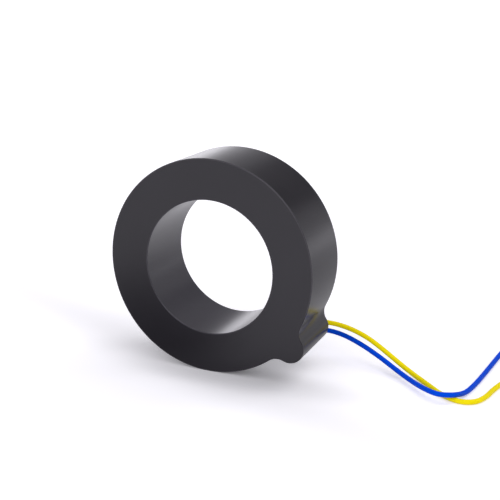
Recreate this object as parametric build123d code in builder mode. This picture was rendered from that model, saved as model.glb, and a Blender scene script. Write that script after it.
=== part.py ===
from build123d import *
import os
from math import cos, radians, sin, sqrt, tan

# Ring current transformer standing on its rim. The origin is the centre of the window,
# Y runs along the window's axis from the closed front face (-Y) to the potted back (+Y),
# Z is up and X is to the right seen from the front. All sizes are in millimetres.

os.makedirs("parts", exist_ok=True)

# Housing: the ring's depth runs from the window out to the rim
window_radius = 17.5
ring_depth = 10.5
width = 19.2
wall = 1.5
tube_wall = 1.5
face_wall = 1.6
edge_round = 0.2
rim_round = 0.1

# Lead boss on the outside of the housing
boss_angle = -39.4
boss_round = 3.9
boss_centre_rise = 0.7
boss_root = 3.8

# Rests on the cavity's floor and ribs on its wall, which centre the core while the resin cures
rest_count = 6
rest_width = 1.2
rest_height = 0.8
rib_clearance = 0.05

# Potting resin
fill_recess = 0.8
resin_cover = 1.6
meniscus_width = 0.7
meniscus_height = 0.3
meniscus_round_share = 0.9

# Core, case, winding and tape, from the cavity's walls inwards
side_gap = 0.4
tape_thickness = 0.15
wrap_gap = 0.04
winding_build = 0.8
winding_gap_angle = 14.0
turn_bundles = 24
groove_width = 0.25
groove_depth = 0.2
corner_cut = 0.9
case_wall = 0.7
lid_step = 0.5
lid_clearance = 0.05
core_gap = 0.25
core_end_gap = 0.1
cushion_thickness = 0.4

# Leads and their joints in the boss
lead_diameter = 1.3
lead_spacing = 2.1
lead_rise = 0.6
lead_buried = 2.5
joint_length = 3.5
joint_radius = 0.42
joint_taper = 0.8
sleeve_fit = 0.02
sleeve_wall = 0.22
sleeve_lap = 1.3
sleeve_overhang = 1.5
tail_diameter = 0.4
tail_bend = 0.5
tail_run = 1.5
tape_window_margin = 0.6

# Routes of the free leads after their straight exits: x, y and height above the table
lead_straight = 2.5
arc_share = 0.45
yellow_route = [
    (24.6, 13.5, 10.1), (27.0, 14.8, 9.7), (31.2, 14.5, 8.4), (36.2, 13.2, 6.5), (41.2, 11.2, 4.4),
    (46.0, 8.6, 2.2), (51.2, 5.0, 0.65), (56.0, 0.4, 0.65), (60.2, -3.8, 0.65), (64.6, -5.3, 0.65),
    (68.2, -3.7, 0.65), (70.1, 0.2, 0.65), (71.0, 5.8, 0.65), (72.2, 12.8, 0.65), (73.0, 20.0, 0.7),
]
blue_route = [
    (23.3, 13.5, 8.3), (25.7, 14.8, 7.5), (29.7, 14.3, 6.1), (34.8, 12.6, 4.3), (40.0, 10.2, 2.6),
    (45.4, 6.8, 1.6), (50.4, 2.8, 1.4), (54.7, -1.2, 1.8), (58.8, -3.6, 2.3), (62.7, -2.4, 1.6),
    (64.8, 1.2, 0.65), (65.9, 6.2, 0.65), (66.4, 12.6, 0.65), (66.8, 20.6, 0.65), (67.6, 29.5, 0.65),
    (68.8, 34.0, 1.8),
]

# Coils of the leads' unseen length, blue on yellow on the table, with a tie round both
coil_centre = (81.0, 33.0)
coil_turn_radius = 8.5
coil_inner_radius = 4.5
coil_slack = 0.05
spout_length = 5.5
yellow_entry_angle = 180.0
blue_entry_angle = 130.0
yellow_end_angle = 50.0
blue_end_angle = 30.0
end_diameter = 0.6
end_length = 4.0
end_round = 0.15
end_inward_angle = 40.0
tie_angle = 250.0
tie_thickness = 0.35
tie_width = 2.4
tie_gap = 0.1
tie_bend = 0.3
tie_head_height = 2.4
tie_head_depth = 1.6
tie_head_margin = 0.5

# Worked-out sizes
outer_radius = window_radius + ring_depth
lead_radius = lead_diameter / 2
half_width = width / 2
cavity_inner = window_radius + tube_wall
cavity_outer = outer_radius - wall
floor_y = -half_width + face_wall
fill_level = half_width - fill_recess
boss_centre = outer_radius + boss_centre_rise
lead_seat = boss_centre + lead_rise
pack_inner = cavity_inner + side_gap
pack_outer = cavity_outer - side_gap
pack_front = floor_y + rest_height
pack_back = fill_level - resin_cover
winding_inset = tape_thickness + wrap_gap
case_inset = winding_inset + winding_build
case_front = pack_front + case_inset
case_back = pack_back - case_inset
case_inner = pack_inner + case_inset
case_outer = pack_outer - case_inset
insulation_end = fill_level - lead_buried
joint_front = insulation_end - joint_length
sleeve_back = insulation_end + sleeve_lap
sleeve_front = joint_front - sleeve_overhang
sleeve_inner = lead_radius + sleeve_fit
sleeve_outer = sleeve_inner + sleeve_wall
tail_level = sleeve_front - tail_run
table = -outer_radius
coil_outer_radius = coil_turn_radius + lead_radius + coil_slack
coil_layer = lead_diameter + coil_slack
yellow_coil_height = tie_thickness + coil_layer / 2
blue_coil_height = yellow_coil_height + coil_layer


def across(y):
    """The plane square to the window's axis at y, with its own x and y along X and Z."""
    return Plane.XZ.offset(-y)


def radial(angle):
    """The plane through the window's axis at an angle, with its own x outwards and y along Y."""
    c, s = cos(radians(angle)), sin(radians(angle))
    return Plane(origin=(0, 0, 0), x_dir=(c, 0, s), z_dir=(-s, 0, c))


def at_boss(side, out, y):
    """A point beside the boss's centre line: side is along the rim, out is the radius."""
    c, s = cos(radians(boss_angle)), sin(radians(boss_angle))
    return Vector(out * c - side * s, y, out * s + side * c)


def ring_outline(inset=0):
    """The housing's outline or, with an inset, its cavity's: a ring blended into the round lead boss."""
    with BuildSketch() as outline:
        Circle(outer_radius)
        with PolarLocations(boss_centre, 1, start_angle=boss_angle):
            Circle(boss_round)
        boss_middle = Vector(boss_centre, 0).rotate(Axis.Z, boss_angle)
        roots = outline.vertices().sort_by_distance(boss_middle)[:2]
        fillet(roots, boss_root)
        if inset:
            offset(amount=-inset, mode=Mode.REPLACE)
    return outline.sketch


def wound_section(inset):
    """The section of the taped core, or of a layer inside it, in the plane of the ring's radius."""
    cut = corner_cut - inset * (2 - sqrt(2))
    with BuildSketch(mode=Mode.PRIVATE) as section:
        with Locations(((pack_inner + pack_outer) / 2, (pack_front + pack_back) / 2)):
            Rectangle(pack_outer - pack_inner - 2 * inset, pack_back - pack_front - 2 * inset)
        chamfer(section.vertices(), cut)
    return section.sketch


def save(part, name):
    part.label = name
    export_step(part, f"parts/{name}.step")


# Housing: moulded cup with a closed front face, the window's tube and the lead boss
with BuildPart() as housing:
    with BuildSketch(across(half_width)):
        add(ring_outline())
    extrude(amount=width)
    with BuildSketch(across(half_width)):
        add(ring_outline(wall))
    extrude(amount=half_width - floor_y, mode=Mode.SUBTRACT)
    with BuildSketch(across(half_width)):
        Circle(cavity_inner)
    extrude(amount=width)
    with BuildSketch(across(half_width)):
        Circle(window_radius)
    extrude(amount=width, mode=Mode.SUBTRACT)
    front_face = housing.faces().sort_by(Axis.Y)[0]
    fillet(front_face.edges(), edge_round)
    rims = housing.faces().filter_by(Plane.XZ).group_by(Axis.Y)[-1].sort_by(SortBy.AREA)
    fillet(rims[-1].outer_wire().edges() + rims[0].inner_wires()[0].edges(), rim_round)
    rib_foot = pack_outer + rib_clearance
    for angle in [boss_angle + (k + 0.5) * 360 / rest_count for k in range(rest_count)]:
        with BuildSketch(radial(angle)):
            with Locations(((cavity_inner + cavity_outer) / 2, floor_y)):
                Rectangle(cavity_outer - cavity_inner + wall, 2 * rest_height)
            with Locations((rib_foot, floor_y)):
                Rectangle(wall, pack_back - floor_y, align=Align.MIN)
        extrude(amount=rest_width / 2, both=True)
save(housing.part, "housing")

# Strip core: a ring wound from thin magnetic strip, standing on its cushion in the case
core_inner = case_inner + case_wall + core_gap
core_outer = case_outer - case_wall - core_gap
cushion_front = case_front + case_wall
core_front = cushion_front + cushion_thickness
core_back = case_back - case_wall - lid_step - core_end_gap
with BuildPart() as strip_core:
    with BuildSketch(across(core_back)):
        Circle(core_outer)
        Circle(core_inner, mode=Mode.SUBTRACT)
    extrude(amount=core_back - core_front)
save(strip_core.part, "strip_core")

# Core cushion: soft ring between the case's floor and the core
with BuildPart() as core_cushion:
    with BuildSketch(across(core_front)):
        Circle(core_outer)
        Circle(core_inner, mode=Mode.SUBTRACT)
    extrude(amount=cushion_thickness)
save(core_cushion.part, "core_cushion")

# Core case: ring-shaped cup, and a lid whose step drops between its walls
channel_inner = case_inner + case_wall
channel_outer = case_outer - case_wall
seam = case_back - case_wall
with BuildPart() as core_case:
    with BuildSketch(radial(boss_angle)):
        add(wound_section(case_inset))
        with Locations((channel_inner, cushion_front)):
            Rectangle(channel_outer - channel_inner, width, align=Align.MIN, mode=Mode.SUBTRACT)
        with Locations((0, seam)):
            Rectangle(2 * outer_radius, width, align=(Align.CENTER, Align.MIN), mode=Mode.SUBTRACT)
    revolve(axis=Axis.Y)
save(core_case.part, "core_case")

with BuildPart() as core_case_lid:
    with BuildSketch(radial(boss_angle)):
        add(wound_section(case_inset))
        with Locations((0, seam)):
            Rectangle(2 * outer_radius, width, align=(Align.CENTER, Align.MAX), mode=Mode.SUBTRACT)
        with Locations((channel_inner + lid_clearance, seam - lid_step)):
            Rectangle(channel_outer - channel_inner - 2 * lid_clearance, 2 * lid_step, align=Align.MIN)
    revolve(axis=Axis.Y)
save(core_case_lid.part, "core_case_lid")

# Secondary winding: bundles of turns all round the case, but for a gap at the lead boss
with BuildPart() as secondary_winding:
    with BuildSketch(radial(boss_angle - winding_gap_angle / 2)):
        add(wound_section(winding_inset))
        add(wound_section(case_inset), mode=Mode.SUBTRACT)
    revolve(axis=Axis.Y, revolution_arc=360 - winding_gap_angle)
    bundle_angle = (360 - winding_gap_angle) / turn_bundles
    first_groove = boss_angle + winding_gap_angle / 2 + bundle_angle
    with BuildSketch(*[radial(first_groove + k * bundle_angle) for k in range(turn_bundles - 1)]):
        add(wound_section(winding_inset - groove_depth))
        add(wound_section(winding_inset + groove_depth), mode=Mode.SUBTRACT)
    extrude(amount=groove_width / 2, both=True, mode=Mode.SUBTRACT)
save(secondary_winding.part, "secondary_winding")

# Winding tape: closed round the winding, with a window where the tails come out
tail_radius = tail_diameter / 2
with BuildPart() as winding_tape:
    with BuildSketch(radial(boss_angle)):
        add(wound_section(0))
        add(wound_section(tape_thickness), mode=Mode.SUBTRACT)
    revolve(axis=Axis.Y)
    with BuildSketch(Plane(origin=at_boss(0, pack_outer, tail_level), x_dir=(0, 1, 0),
                           z_dir=at_boss(0, 1, 0))):
        window = tail_diameter + tape_window_margin
        Rectangle(window, lead_spacing + window)
    extrude(amount=winding_build, both=True, mode=Mode.SUBTRACT)
save(winding_tape.part, "winding_tape")


def winding_tail(side):
    """One end of the winding: out through the tape's window, up the boss and back to its joint."""
    half_gap = radians(winding_gap_angle / 2)
    root_radius = pack_outer - winding_inset - winding_build / 2
    reach = (root_radius * sin(half_gap) - lead_spacing / 2) / cos(half_gap)
    turn_out = root_radius * cos(half_gap) + reach * sin(half_gap)
    points = [
        at_boss(side * root_radius * sin(half_gap), root_radius * cos(half_gap), tail_level),
        at_boss(side * lead_spacing / 2, turn_out, tail_level),
        at_boss(side * lead_spacing / 2, lead_seat, tail_level),
        at_boss(side * lead_spacing / 2, lead_seat, joint_front),
    ]
    with BuildPart() as tail:
        with BuildLine() as path:
            FilletPolyline(*points, radius=tail_bend)
        with BuildSketch(Plane(origin=path.line @ 0, z_dir=path.line % 0)):
            Circle(tail_radius)
        sweep(path=path.line)
    return tail.part


def solder_joint(side):
    """The lead's stripped strands and the tail in one bead of solder, tapered at both ends."""
    outline = [
        (lead_seat, joint_front),
        (lead_seat + tail_radius, joint_front),
        (lead_seat + joint_radius, joint_front + joint_taper),
        (lead_seat + joint_radius, insulation_end - joint_taper),
        (lead_seat + tail_radius, insulation_end),
        (lead_seat, insulation_end),
    ]
    with BuildPart() as joint:
        with BuildSketch(radial(boss_angle)):
            with BuildLine():
                Polyline(*outline, close=True)
            make_face()
        revolve(axis=Axis(at_boss(0, lead_seat, 0), (0, 1, 0)))
    return joint.part.moved(Location(at_boss(side * lead_spacing / 2, 0, 0)))


def shrink_sleeve(side):
    """Sleeve over the joint and the end of the lead's insulation."""
    with BuildPart() as sleeve:
        with BuildSketch(Plane(origin=at_boss(side * lead_spacing / 2, lead_seat, sleeve_back),
                               x_dir=(1, 0, 0), z_dir=(0, -1, 0))):
            Circle(sleeve_outer)
            Circle(sleeve_inner, mode=Mode.SUBTRACT)
        extrude(amount=sleeve_back - sleeve_front)
    return sleeve.part


yellow_side, blue_side = 1, -1
winding_start_tail = winding_tail(yellow_side)
winding_finish_tail = winding_tail(blue_side)
yellow_joint = solder_joint(yellow_side)
blue_joint = solder_joint(blue_side)
yellow_sleeve = shrink_sleeve(yellow_side)
blue_sleeve = shrink_sleeve(blue_side)
save(winding_start_tail, "winding_start_tail")
save(winding_finish_tail, "winding_finish_tail")
save(yellow_joint, "yellow_joint")
save(blue_joint, "blue_joint")
save(yellow_sleeve, "yellow_sleeve")
save(blue_sleeve, "blue_sleeve")

# Potting resin: fills what is free in the cup, dished a little below the mark at the walls
with BuildPart() as potting_resin:
    with BuildSketch(across(fill_level + meniscus_height)):
        add(ring_outline(wall))
        Circle(cavity_inner, mode=Mode.SUBTRACT)
    extrude(amount=fill_level + meniscus_height - floor_y)
    with BuildSketch(across(fill_level + meniscus_height)):
        add(ring_outline(wall + meniscus_width))
        Circle(cavity_inner + meniscus_width, mode=Mode.SUBTRACT)
    extrude(amount=meniscus_height, mode=Mode.SUBTRACT)
    dish = potting_resin.faces().filter_by(Plane.XZ).group_by(Axis.Y)[-2]
    fillet(dish.edges(), meniscus_height * meniscus_round_share)
    add(housing.part, mode=Mode.SUBTRACT)
    with BuildSketch(radial(boss_angle)):
        add(wound_section(0))
    revolve(axis=Axis.Y, mode=Mode.SUBTRACT)
    add([winding_start_tail, winding_finish_tail], mode=Mode.SUBTRACT)
    for side in (yellow_side, blue_side):
        with BuildSketch(Plane(origin=at_boss(side * lead_spacing / 2, lead_seat, sleeve_back),
                               x_dir=(1, 0, 0), z_dir=(0, -1, 0))):
            Circle(sleeve_outer)
        extrude(amount=sleeve_back - sleeve_front, mode=Mode.SUBTRACT)
        with BuildSketch(Plane(origin=at_boss(side * lead_spacing / 2, lead_seat, half_width),
                               x_dir=(1, 0, 0), z_dir=(0, -1, 0))):
            Circle(lead_radius)
        extrude(amount=half_width - insulation_end, mode=Mode.SUBTRACT)
save(potting_resin.part, "potting_resin")


def coil_mouth(entry_angle, height):
    """Where a lead meets its coil's run-in, and the way it goes there, clockwise seen from above."""
    c, s = cos(radians(entry_angle)), sin(radians(entry_angle))
    onward = Vector(s, -c, 0)
    edge = Vector(coil_centre[0] + coil_turn_radius * c, coil_centre[1] + coil_turn_radius * s,
                  table + height)
    return edge - onward * spout_length, onward


def lead_tube(side, route, entry_angle, coil_height, coil):
    """A lead from its joint to its coil: straight runs with an arc at each point of the route."""
    start = at_boss(side * lead_spacing / 2, lead_seat, insulation_end)
    straight_end = at_boss(side * lead_spacing / 2, lead_seat, fill_level + lead_straight)
    mouth, onward = coil_mouth(entry_angle, coil_height)
    points = [start, straight_end] + [Vector(x, y, table + height) for x, y, height in route] + [mouth]
    runs = [b - a for a, b in zip(points, points[1:])]
    turns = [a.get_angle(b) for a, b in zip(runs, runs[1:])]
    radii = [arc_share * min(a.length, b.length) / tan(radians(turn) / 2)
             for a, b, turn in zip(runs, runs[1:], turns)]
    with BuildPart() as tube:
        with BuildLine() as path:
            FilletPolyline(*points, radius=radii)
        with BuildSketch(Plane(origin=path.line @ 0, z_dir=path.line % 0)) as section:
            Circle(lead_radius)
        sweep(path=path.line)
        length = path.wires()[0].length
        print("arc radii", [round(radius, 1) for radius in radii], "length", round(length, 1))
        fill = tube.part.volume / (section.sketch.area * length)
        print("volume over section times length", round(fill, 5))
        add(coil, mode=Mode.SUBTRACT)
    return tube.part


def lead_coil(entry_angle, height):
    """The outer shape of one lead's flat coil, with the straight run that leads into its outer turn."""
    mouth, onward = coil_mouth(entry_angle, height)
    with BuildPart() as coil:
        with BuildSketch(Plane.XY.offset(table + height - coil_layer / 2)):
            with Locations(coil_centre):
                Circle(coil_outer_radius)
                Circle(coil_inner_radius, mode=Mode.SUBTRACT)
        extrude(amount=coil_layer)
        with BuildSketch(Plane(origin=mouth, z_dir=onward)):
            Circle(lead_radius)
        extrude(amount=spout_length)
    return coil.part


def lead_end(end_angle, height, coil):
    """A lead's stripped and tinned end, pointing from the inner turn into the coil's eye."""
    c, s = cos(radians(end_angle)), sin(radians(end_angle))
    inner_wall = Vector(coil_centre[0] + coil_inner_radius * c, coil_centre[1] + coil_inner_radius * s,
                        table + height)
    slant = radians(end_inward_angle)
    pointing = Vector(s, -c, 0) * cos(slant) - Vector(c, s, 0) * sin(slant)
    with BuildPart() as end:
        with BuildSketch(Plane(origin=inner_wall - pointing * end_diameter, z_dir=pointing)):
            Circle(end_diameter / 2)
        extrude(amount=end_diameter + end_length)
        fillet(end.faces().sort_by_distance(inner_wall + pointing * end_length)[0].edges(), end_round)
        add(coil, mode=Mode.SUBTRACT)
    return end.part


yellow_coil = lead_coil(yellow_entry_angle, yellow_coil_height)
blue_coil = lead_coil(blue_entry_angle, blue_coil_height)
yellow_lead = lead_tube(yellow_side, yellow_route, yellow_entry_angle, yellow_coil_height, yellow_coil)
blue_lead = lead_tube(blue_side, blue_route, blue_entry_angle, blue_coil_height, blue_coil)
save(yellow_lead, "yellow_lead")
save(blue_lead, "blue_lead")
save(yellow_coil, "yellow_coil")
save(blue_coil, "blue_coil")
save(lead_end(yellow_end_angle, yellow_coil_height, yellow_coil), "yellow_lead_end")
save(lead_end(blue_end_angle, blue_coil_height, blue_coil), "blue_lead_end")

# Tie round both coils, with its head on the outer side
strap_inner = sqrt(coil_inner_radius**2 - (tie_width / 2) ** 2) - tie_gap
strap_outer = coil_outer_radius + tie_gap
strap_length = strap_outer - strap_inner
strap_height = 2 * coil_layer
tie_outwards = Vector(cos(radians(tie_angle)), sin(radians(tie_angle)), 0)
tie_plane = Plane(origin=(*coil_centre, table), x_dir=tie_outwards,
                  z_dir=tie_outwards.cross(Vector(0, 0, 1)))
with BuildPart() as lead_tie:
    with BuildSketch(tie_plane) as strap:
        with Locations(((strap_inner + strap_outer) / 2, tie_thickness + strap_height / 2)):
            Rectangle(strap_length + 2 * tie_thickness, strap_height + 2 * tie_thickness)
            fillet(strap.vertices(), tie_bend + tie_thickness)
            Rectangle(strap_length, strap_height, mode=Mode.SUBTRACT)
    extrude(amount=tie_width / 2, both=True)
    with BuildSketch(tie_plane):
        with Locations((strap_outer + tie_thickness / 2, tie_thickness + strap_height / 2)):
            Rectangle(tie_head_depth, tie_head_height, align=(Align.MIN, Align.CENTER))
    extrude(amount=tie_width / 2 + tie_head_margin, both=True)
save(lead_tie.part, "lead_tie")
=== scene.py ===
import bpy
from math import ceil, cos, radians, sin
from mathutils import Matrix, Vector


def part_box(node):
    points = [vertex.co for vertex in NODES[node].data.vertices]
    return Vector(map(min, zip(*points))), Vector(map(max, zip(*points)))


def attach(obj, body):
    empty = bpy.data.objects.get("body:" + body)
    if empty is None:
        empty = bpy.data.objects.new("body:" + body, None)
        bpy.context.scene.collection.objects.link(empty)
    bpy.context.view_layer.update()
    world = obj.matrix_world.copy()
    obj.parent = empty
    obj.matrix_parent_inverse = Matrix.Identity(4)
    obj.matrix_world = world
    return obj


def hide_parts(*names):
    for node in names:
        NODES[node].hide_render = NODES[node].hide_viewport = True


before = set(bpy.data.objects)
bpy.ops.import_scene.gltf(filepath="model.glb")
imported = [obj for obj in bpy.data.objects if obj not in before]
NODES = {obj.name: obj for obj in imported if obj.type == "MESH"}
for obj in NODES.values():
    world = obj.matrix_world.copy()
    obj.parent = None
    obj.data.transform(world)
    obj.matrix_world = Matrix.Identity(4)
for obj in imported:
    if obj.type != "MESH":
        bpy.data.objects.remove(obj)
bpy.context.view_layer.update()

# All lengths are in metres and all angles in degrees. X is right, Y goes back, Z is up
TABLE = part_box("housing")[0].z
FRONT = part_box("housing")[0].y
RIM_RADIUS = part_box("housing")[1].z

# Moulded finishes, each with its darkest and lightest colour, its smoothest and roughest gloss, the
# scale and depth of its grain, and where they aren't the usual ones, its refraction and glint
USUAL_IOR = 1.5
USUAL_GLINT = (1, 1, 1)
MOTTLE = {"Scale": 60.0, "Detail": 4.0, "Roughness": 0.6}
MOTTLE_RANGE = (0.3, 0.7)
GRAIN = {"Detail": 3.0, "Roughness": 0.5}
GRAIN_STRENGTH = 0.5
MOULDED = {
    "housing_plastic": ((0.0175, 0.0159, 0.0201), (0.0196, 0.0179, 0.0226), (0.278, 0.300),
                        1600.0, 0.0000004, 1.42),
    "resin": ((0.010, 0.010, 0.011), (0.014, 0.013, 0.014), (0.10, 0.16), 260.0, 0.00012),
    "yellow_insulation": ((0.97, 0.79, 0.001), (1.0, 0.85, 0.003), (0.42, 0.48),
                          2600.0, 0.00001, 1.22, (1, 0.95, 0.5)),
    "blue_insulation": ((0.0005, 0.064, 0.68), (0.001, 0.076, 0.80), (0.42, 0.48),
                        2600.0, 0.00001, 1.22, (0.05, 0.45, 1)),
    "tie_nylon": ((0.62, 0.61, 0.57), (0.70, 0.69, 0.65), (0.35, 0.45), 1800.0, 0.00001),
    "case_plastic": ((0.55, 0.53, 0.48), (0.62, 0.60, 0.55), (0.40, 0.50), 2400.0, 0.00001),
    "cushion_foam": ((0.10, 0.10, 0.10), (0.16, 0.16, 0.16), (0.85, 0.95), 1500.0, 0.0002),
    "tape": ((0.55, 0.42, 0.06), (0.66, 0.50, 0.09), (0.30, 0.45), 900.0, 0.00003),
    "sleeve": ((0.015, 0.015, 0.015), (0.022, 0.022, 0.022), (0.45, 0.55), 1400.0, 0.00003),
}

# Drawn or wound metals, each with its darkest and lightest colour, its smoothest gloss and the way
# that its streaks are stretched: along the axis with the small number
STREAKS = {"Scale": 900.0, "Detail": 3.0}
STREAK_GLOSS = 0.2
DRAWN = {
    "tinned_copper": ((0.55, 0.54, 0.52), (0.78, 0.77, 0.74), 0.28, (1, 1, 0.2)),
    "solder": ((0.50, 0.50, 0.50), (0.70, 0.70, 0.69), 0.3, (1, 0.2, 1)),
    "enamelled_copper": ((0.36, 0.13, 0.05), (0.62, 0.27, 0.11), 0.25, (0.1, 1, 0.1)),
    "core_steel": ((0.28, 0.28, 0.29), (0.45, 0.45, 0.46), 0.35, (0.1, 1, 0.1)),
}

# The housing's window wall is painted lighter: painted light that stands in for light the wall
# mirrors. The painted light ends between these distances outside it
WINDOW_RADIUS = 0.0175
PAINTED_WALL_LIGHT = ((0.052, 0.049, 0.059), (0.056, 0.053, 0.064))
WALL_GLOSS = 0.278
PAINTED_WALL_LIGHT_ENDS = (0.0001, 0.0003)

# The rim's front edge carries a painted highlight, a pale band. The band fades between these
# distances from the sharp corner that its rounding takes off, and between these angles from the lead boss
PAINTED_RIM_HIGHLIGHT = (0.043, 0.040, 0.047)
PAINTED_RIM_HIGHLIGHT_ENDS = (0.00024, 0.00034)
BOSS_ANGLE = -39.4
BOSS_ENDS = (19.0, 24.0)

# Finish of each solid that keeps its CAD shape
DRESS = {
    "housing": "housing_plastic",
    "potting_resin": "resin",
    "strip_core": "core_steel",
    "core_cushion": "cushion_foam",
    "core_case": "case_plastic",
    "core_case_lid": "case_plastic",
    "secondary_winding": "enamelled_copper",
    "winding_tape": "tape",
    "winding_start_tail": "enamelled_copper",
    "winding_finish_tail": "enamelled_copper",
    "yellow_joint": "solder",
    "blue_joint": "solder",
    "yellow_sleeve": "sleeve",
    "blue_sleeve": "sleeve",
    "yellow_lead_end": "tinned_copper",
    "blue_lead_end": "tinned_copper",
    "lead_tie": "tie_nylon",
}

# Leads. Their points' heights are above the table
LEAD_DIAMETER = 0.0013
POINTS_PER_SPAN = 12
ROUNDNESS = 6
YELLOW_START = (0.02331, 0.0063, 0.01021)
YELLOW_STRAIGHT_END = (0.02331, 0.0113, 0.01021)
YELLOW_ROUTE = [
    (0.0246, 0.0135, 0.0094), (0.0270, 0.0148, 0.0088), (0.0312, 0.0145, 0.0081),
    (0.0362, 0.0132, 0.0068), (0.0412, 0.0112, 0.0048), (0.0459, 0.0089, 0.0029),
    (0.0501, 0.0075, 0.00105), (0.0545, 0.0039, 0.00065), (0.0590, -0.0008, 0.00065),
    (0.0637, -0.0031, 0.00065), (0.0674, -0.0019, 0.00065), (0.0693, 0.0022, 0.00065),
    (0.0702, 0.0078, 0.00065), (0.0720, 0.0138, 0.00065), (0.0730, 0.0200, 0.0007),
]
BLUE_START = (0.02197, 0.0063, 0.00859)
BLUE_STRAIGHT_END = (0.02197, 0.0113, 0.00859)
BLUE_ROUTE = [
    (0.0233, 0.0135, 0.0071), (0.0257, 0.0148, 0.0066), (0.0297, 0.0143, 0.0060),
    (0.0348, 0.0126, 0.0048), (0.0400, 0.0102, 0.0034), (0.0453, 0.0071, 0.0019),
    (0.0504, 0.0028, 0.0014), (0.0547, -0.0015, 0.0018), (0.0588, -0.0043, 0.0021),
    (0.0626, -0.0030, 0.0021), (0.0642, 0.0024, 0.0007), (0.0653, 0.0079, 0.00065),
    (0.0661, 0.0145, 0.00065), (0.0668, 0.0214, 0.00065), (0.0676, 0.0295, 0.00065),
    (0.0688, 0.0340, 0.0018),
]

# Coils of the unseen length, blue on yellow, turning clockwise seen from above, over their tie
COIL_CENTRE = Vector((0.081, 0.033, 0))
COIL_RADIUS = 0.0085
COIL_PITCH = 0.00135
COIL_INNER = 0.0045
COIL_LAYER = 0.00135
COIL_RUN_IN = 0.0055
COIL_STEP = 20.0
COIL_WHOLE_TURNS = 2
TIE_ANGLE = 250.0
TIE_THICKNESS = 0.00035
TIE_NARROWNESS = 4
YELLOW_ENTRY, YELLOW_END = 180.0, 50.0
BLUE_ENTRY, BLUE_END = 130.0, 30.0
END_INWARD = 40.0

# Camera: its place seen from the front face's centre, in rim radii, and the way it looks
CAMERA_FROM_FRONT = (3.6232, -7.4337, 2.5378)
CAMERA_RIGHT = (0.9173, 0.3982, 0.0064)
CAMERA_UP = (-0.1153, 0.2501, 0.9613)
LENS = 69.02
SENSOR = 36.0
NEAREST = 0.01

# Floor: pale, with the object's shadow. Its own light whitens it for the camera and in mirrored
# views of it, and is dimmer in patches near the object's foot, which are painted shadow. Dark flags
# lie on it out of the camera's sight, and shape what the object mirrors: they are painted shadow too,
# dark sheets where there is only shade. Each patch and flag is an ellipse: its centre, its turn, its
# half-length and half-width, and the share of light that it takes away. Its edge fades between two
# shares of its size
FLOOR_SIZE = 40.0
FLOOR_ALBEDO = 0.9
PAINTED_SHADOW_FLAG_ALBEDO = 0.08
OWN_LIGHT = 0.35
PAINTED_SHADOW_PATCHES = (
    ((-0.0205, -0.0007), -22.0, (0.200, 0.018), 0.51),
    ((0.013, -0.0105), 2.0, (0.043, 0.0105), 0.90),
)
PAINTED_SHADOW_EDGE = (0.0, 1.0)
PAINTED_SHADOW_FLAGS = (
    ((-0.034, -0.044), 51.5, (0.050, 0.021), 1.0),
    ((0.110, 0.165), 63.0, (0.215, 0.042), 0.60),
)
PAINTED_SHADOW_FLAG_EDGE = (0.5, 1.3)

# Studio: a base level and soft boxes round the object, each with its azimuth, where 0 is behind
# the object and 90 is to its right, its elevation, its half-width and its strength. A box's edge
# fades between two shares of its half-width
LIGHT_TINT = (1.0, 0.985, 1.045)
BASE_LEVEL = 0.09
SOFT_BOXES = (
    (-36, 4, 11, 1.85),
    (-24, 4, 11, 0.93),
    (-22, 22, 13, 0.26),
    (5, 45, 16, 0.30),
    (32, 9, 13, 0.54),
    (43, 42, 16, 1.9),
    (180, 10, 28, 1.6),
    (135, 35, 28, 0.8),
    (180, 40, 25, 0.4),
    (-135, 35, 28, 0.60),
    (-90, 35, 28, 0.30),
    (-60, 62, 22, 0.65),
    (0, 62, 22, 0.75),
    (60, 62, 22, 0.65),
    (120, 62, 22, 0.50),
    (0, 90, 25, 0.30),
)
BOX_EDGE = (0.6, 1.25)

# A Mix node's sockets for colours
COLOUR_UNDER, COLOUR_OVER, COLOUR_OUT = 6, 7, 2


def fill(tree, target, given):
    """Links a socket to an input, or sets the input to a plain value."""
    if isinstance(given, bpy.types.NodeSocket):
        tree.links.new(given, target)
    else:
        target.default_value = given


def add(tree, kind, inputs=None, **settings):
    """A new node with these settings, and a socket or a value for each input, by name or number."""
    made = tree.nodes.new("ShaderNode" + kind)
    for name, value in settings.items():
        setattr(made, name, value)
    for key, given in (inputs or {}).items():
        fill(tree, made.inputs[key], given)
    return made


def worked_out(tree, operation, first, second):
    """One step of arithmetic between two sockets or numbers."""
    return add(tree, "Math", {0: first, 1: second}, operation=operation).outputs["Value"]


def ranged(tree, value, start, end, low=0.0, high=1.0, kind="LINEAR"):
    """Goes from low to high as the value goes from start to end, and no further."""
    inputs = {"Value": value, "From Min": start, "From Max": end, "To Min": low, "To Max": high}
    return add(tree, "MapRange", inputs, interpolation_type=kind).outputs["Result"]


def ramp(tree, amount, low, high, start=0.0, end=1.0):
    """A colour that goes from low to high as the amount goes from start to end."""
    made = add(tree, "ValToRGB", {"Fac": amount})
    for stop, position, colour in zip(made.color_ramp.elements, (start, end), (low, high)):
        stop.position = position
        stop.color = (*colour, 1)
    return made.outputs["Color"]


def laid_over(tree, mask, under, over):
    """One colour over another where the mask is 1."""
    inputs = {"Factor": mask, COLOUR_UNDER: under, COLOUR_OVER: over}
    return add(tree, "Mix", inputs, data_type="RGBA").outputs[COLOUR_OUT]


def new_material(name):
    """A fresh node material, its tree, its shader and its place on the object."""
    material = bpy.data.materials.new(name)
    material.use_nodes = True
    tree = material.node_tree
    place = add(tree, "TexCoord").outputs["Object"]
    return material, tree, tree.nodes["Principled BSDF"], place


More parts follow.
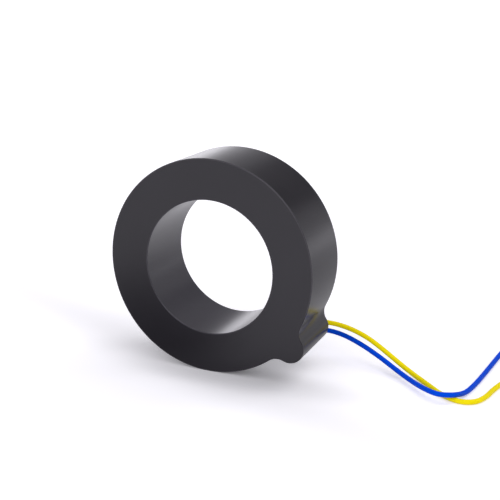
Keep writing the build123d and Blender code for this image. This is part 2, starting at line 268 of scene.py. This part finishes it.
def moulded(name, low, high, gloss, grain, depth, ior=USUAL_IOR, glint=USUAL_GLINT):
    """A moulded or cast surface: faint mottling of its colour and gloss, and a fine grain."""
    material, tree, shader, place = new_material(name)
    cloud = add(tree, "TexNoise", {"Vector": place, **MOTTLE}).outputs["Fac"]
    fine = add(tree, "TexNoise", {"Vector": place, "Scale": grain, **GRAIN}).outputs["Fac"]
    bump = add(tree, "Bump", {"Strength": GRAIN_STRENGTH, "Distance": depth, "Height": fine})
    fill(tree, shader.inputs["Base Color"], ramp(tree, cloud, low, high, *MOTTLE_RANGE))
    fill(tree, shader.inputs["Roughness"], ranged(tree, cloud, *MOTTLE_RANGE, *gloss))
    fill(tree, shader.inputs["Normal"], bump.outputs["Normal"])
    shader.inputs["IOR"].default_value = ior
    shader.inputs["Specular Tint"].default_value = (*glint, 1)
    return material


def paint_light_on_window_and_rim(material):
    """Paints light onto the wall of the window and makes it smoother, and paints a pale highlight along
    the rim's front edge.
    """
    tree = material.node_tree
    shader = tree.nodes["Principled BSDF"]
    colour = shader.inputs["Base Color"]
    gloss = shader.inputs["Roughness"]
    place = tree.nodes["Texture Coordinate"].outputs["Object"]
    body = colour.links[0].from_socket
    cloud = body.node.inputs["Fac"].links[0].from_socket
    flat = add(tree, "VectorMath", {0: place, 1: (1, 0, 1)}, operation="MULTIPLY").outputs["Vector"]
    radius = add(tree, "VectorMath", {0: flat}, operation="LENGTH").outputs["Value"]

    # Painted light on the window's wall: a lighter colour there, and a smoother gloss
    inner, outer = PAINTED_WALL_LIGHT_ENDS
    wall = ranged(tree, radius, WINDOW_RADIUS + outer, WINDOW_RADIUS + inner)
    with_painted_wall_light = laid_over(tree, wall, body, ramp(tree, cloud, *PAINTED_WALL_LIGHT))
    polish = add(tree, "Mix", {"Factor": wall, "A": gloss.links[0].from_socket, "B": WALL_GLOSS})
    fill(tree, gloss, polish.outputs["Result"])

    # Painted highlight: a pale band along the rim's front edge, fading out near the lead boss
    inner, outer = PAINTED_RIM_HIGHLIGHT_ENDS
    depth = add(tree, "SeparateXYZ", {"Vector": place}).outputs["Y"]
    corner = RIM_RADIUS - FRONT
    edge = ranged(tree, worked_out(tree, "SUBTRACT", radius, depth), corner - outer, corner - inner)
    inner, outer = BOSS_ENDS
    boss = (cos(radians(BOSS_ANGLE)), 0, sin(radians(BOSS_ANGLE)))
    towards_boss = add(tree, "VectorMath", {0: place, 1: boss}, operation="DOT_PRODUCT").outputs["Value"]
    clear = ranged(tree, towards_boss, RIM_RADIUS * cos(radians(inner)), RIM_RADIUS * cos(radians(outer)))
    rim_highlight = worked_out(tree, "MULTIPLY", edge, clear)
    fill(tree, colour, laid_over(tree, rim_highlight, with_painted_wall_light, (*PAINTED_RIM_HIGHLIGHT, 1)))


def drawn_metal(name, low, high, gloss, stretch):
    """A drawn or wound metal: fine streaks along one axis, in its colour and its gloss."""
    material, tree, shader, place = new_material(name)
    squeezed = add(tree, "Mapping", {"Vector": place, "Scale": stretch}).outputs["Vector"]
    streak = add(tree, "TexNoise", {"Vector": squeezed, **STREAKS}).outputs["Fac"]
    fill(tree, shader.inputs["Base Color"], ramp(tree, streak, low, high))
    fill(tree, shader.inputs["Roughness"], ranged(tree, streak, 0.0, 1.0, gloss, gloss + STREAK_GLOSS))
    shader.inputs["Metallic"].default_value = 1.0
    return material


def dress(solid, material):
    """Gives a carried-over solid its finish."""
    solid.data.materials.clear()
    solid.data.materials.append(material)
    for face in solid.data.polygons:
        face.material_index = 0


def coil_direction(angle):
    """Outwards from the coil's centre, and the way that a lead goes round there."""
    outwards = Vector((cos(radians(angle)), sin(radians(angle)), 0))
    return outwards, Vector((outwards.y, -outwards.x, 0))


def coil_points(entry, end, layer):
    """One lead's run-in, its turns, from the outer one inwards, and its bare end's curl inwards."""
    base = TABLE + LEAD_DIAMETER / 2 + layer * COIL_LAYER
    swept = (entry - end) % 360 + 360 * COIL_WHOLE_TURNS
    steps = ceil((swept - COIL_STEP) / COIL_STEP)
    outwards, onward = coil_direction(entry)
    edge = COIL_CENTRE + outwards * COIL_RADIUS
    edge.z = base + TIE_THICKNESS
    points = [edge - onward * COIL_RUN_IN]
    for k in range(steps):
        turned = COIL_STEP * k
        angle = entry - turned
        radius = COIL_RADIUS - COIL_PITCH * turned / 360
        outwards, onward = coil_direction(angle)
        over_tie = max(0.0, cos(radians(angle - TIE_ANGLE))) ** TIE_NARROWNESS
        point = COIL_CENTRE + outwards * radius / cos(radians(COIL_STEP / 2))
        point.z = base + TIE_THICKNESS * over_tie
        points.append(point)
    outwards, onward = coil_direction(end)
    tip = COIL_CENTRE + outwards * COIL_INNER
    tip.z = base + TIE_THICKNESS
    slant = radians(END_INWARD)
    heading = onward * cos(slant) - outwards * sin(slant)
    return points + [tip - heading * LEAD_DIAMETER, tip]


def lead_points(start, straight_end, route, entry, end, layer):
    """The control points of a whole lead."""
    free = [Vector((x, y, TABLE + height)) for x, y, height in [start, straight_end] + route]
    return free + coil_points(entry, end, layer)


def lead_curve(name, points, material):
    """A round lead along one smooth line with these control points."""
    curve = bpy.data.curves.new(name, "CURVE")
    curve.dimensions = "3D"
    spline = curve.splines.new("NURBS")
    spline.points.add(len(points) - 1)
    for target, point in zip(spline.points, points):
        target.co = (*point, 1)
    spline.order_u = 3
    spline.use_endpoint_u = True
    spline.resolution_u = POINTS_PER_SPAN
    curve.bevel_depth = LEAD_DIAMETER / 2
    curve.bevel_resolution = ROUNDNESS
    curve.use_fill_caps = True
    curve.materials.append(material)
    lead = bpy.data.objects.new(name, curve)
    bpy.context.scene.collection.objects.link(lead)
    return lead


def place_camera():
    """The camera at the photograph's viewing angle."""
    right = Vector(CAMERA_RIGHT).normalized()
    backwards = right.cross(Vector(CAMERA_UP)).normalized()
    up = backwards.cross(right)
    lens = bpy.data.cameras.new("camera")
    lens.lens = LENS
    lens.sensor_width = SENSOR
    lens.clip_start = NEAREST
    camera = bpy.data.objects.new("camera", lens)
    camera.matrix_world = Matrix((right, up, backwards)).transposed().to_4x4()
    camera.location = Vector((0, FRONT, 0)) + Vector(CAMERA_FROM_FRONT) * RIM_RADIUS
    bpy.context.scene.collection.objects.link(camera)
    bpy.context.scene.camera = camera


def light_left(tree, place, patches, edge):
    """1 on the open floor, and less in each of these patches."""
    inner, outer = edge
    left = 1.0
    for (x, y), turn, (half_length, half_width), share in patches:
        inputs = {"Vector": place, "Location": (x, y, TABLE), "Rotation": (0, 0, radians(turn)),
                  "Scale": (half_length, half_width, 1)}
        inside = add(tree, "Mapping", inputs, vector_type="TEXTURE").outputs["Vector"]
        away = add(tree, "VectorMath", {0: inside}, operation="LENGTH").outputs["Value"]
        taken = ranged(tree, away, outer, inner, high=share, kind="SMOOTHSTEP")
        left = worked_out(tree, "MULTIPLY", left, worked_out(tree, "SUBTRACT", 1.0, taken))
    return left


def floor_paper():
    """The floor's white paper, with its own light, painted shadow where that light dims, and dark flags
    of painted shadow.
    """
    material, tree, shader, place = new_material("floor_paper")
    rays = add(tree, "LightPath").outputs
    seen = worked_out(tree, "MAXIMUM", rays["Is Glossy Ray"], rays["Is Transmission Ray"])
    seen = worked_out(tree, "MAXIMUM", seen, rays["Is Camera Ray"])
    # Own light, dimmer in the painted shadow near the foot
    own_light = worked_out(tree, "MULTIPLY", seen, OWN_LIGHT)
    own_light = worked_out(tree, "MULTIPLY", own_light, light_left(tree, place, PAINTED_SHADOW_PATCHES, PAINTED_SHADOW_EDGE))
    # Dark flags: painted shadow, seen by every ray but the camera's
    clear = light_left(tree, place, PAINTED_SHADOW_FLAGS, PAINTED_SHADOW_FLAG_EDGE)
    clear = worked_out(tree, "MAXIMUM", clear, rays["Is Camera Ray"])
    shadow_grey, open_floor = ((grey, grey, grey, 1) for grey in (PAINTED_SHADOW_FLAG_ALBEDO, FLOOR_ALBEDO))
    fill(tree, shader.inputs["Base Color"], laid_over(tree, clear, shadow_grey, open_floor))
    fill(tree, shader.inputs["Emission Strength"], worked_out(tree, "MULTIPLY", own_light, clear))
    shader.inputs["Emission Color"].default_value = (*LIGHT_TINT, 1)
    shader.inputs["Roughness"].default_value = 1.0
    shader.inputs["Specular IOR Level"].default_value = 0.0
    return material


def lay_floor():
    """The floor that the object stands on."""
    half = FLOOR_SIZE / 2
    corners = [(-half, -half, TABLE), (half, -half, TABLE), (half, half, TABLE), (-half, half, TABLE)]
    mesh = bpy.data.meshes.new("floor")
    mesh.from_pydata(corners, [], [(0, 1, 2, 3)])
    mesh.materials.append(floor_paper())
    floor = bpy.data.objects.new("floor", mesh)
    bpy.context.scene.collection.objects.link(floor)


def light_studio():
    """A world of soft boxes, with a white background for the camera."""
    world = bpy.data.worlds.new("studio")
    world.use_nodes = True
    bpy.context.scene.world = world
    tree = world.node_tree
    direction = add(tree, "TexCoord").outputs["Generated"]
    inner, outer = BOX_EDGE
    level = BASE_LEVEL
    for azimuth, elevation, half_width, strength in SOFT_BOXES:
        sideways, upwards = radians(azimuth), radians(elevation)
        centre = (sin(sideways) * cos(upwards), cos(sideways) * cos(upwards), sin(upwards))
        inputs = {0: direction, 1: centre}
        towards = add(tree, "VectorMath", inputs, operation="DOT_PRODUCT").outputs["Value"]
        shine = ranged(tree, towards, cos(radians(outer * half_width)), cos(radians(inner * half_width)),
                       high=strength, kind="SMOOTHSTEP")
        level = worked_out(tree, "ADD", shine, level)
    boxes = tree.nodes["Background"]
    fill(tree, boxes.inputs["Color"], (*LIGHT_TINT, 1))
    fill(tree, boxes.inputs["Strength"], level)
    white = add(tree, "Background", {"Color": (1, 1, 1, 1)})
    rays = add(tree, "LightPath").outputs
    straight = worked_out(tree, "MAXIMUM", rays["Is Camera Ray"], rays["Is Transmission Ray"])
    inputs = {0: straight, 1: boxes.outputs["Background"], 2: white.outputs["Background"]}
    seen = add(tree, "MixShader", inputs).outputs["Shader"]
    fill(tree, tree.nodes["World Output"].inputs["Surface"], seen)


# Finishes
finishes = {name: moulded(name, *look) for name, look in MOULDED.items()}
finishes.update({name: drawn_metal(name, *look) for name, look in DRAWN.items()})
paint_light_on_window_and_rim(finishes["housing_plastic"])
for node_name, slot in DRESS.items():
    dress(NODES[node_name], finishes[slot])

# Leads
yellow_points = lead_points(YELLOW_START, YELLOW_STRAIGHT_END, YELLOW_ROUTE, YELLOW_ENTRY, YELLOW_END, 0)
blue_points = lead_points(BLUE_START, BLUE_STRAIGHT_END, BLUE_ROUTE, BLUE_ENTRY, BLUE_END, 1)
yellow_wire = lead_curve("yellow_wire", yellow_points, finishes["yellow_insulation"])
blue_wire = lead_curve("blue_wire", blue_points, finishes["blue_insulation"])
for wire, name, start in ((yellow_wire, "yellow", YELLOW_START), (blue_wire, "blue", BLUE_START)):
    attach(wire, "root")
    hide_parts(f"{name}_lead", f"{name}_coil")

# Stage
place_camera()
lay_floor()
light_studio()
bpy.context.scene.view_settings.view_transform = "Standard"
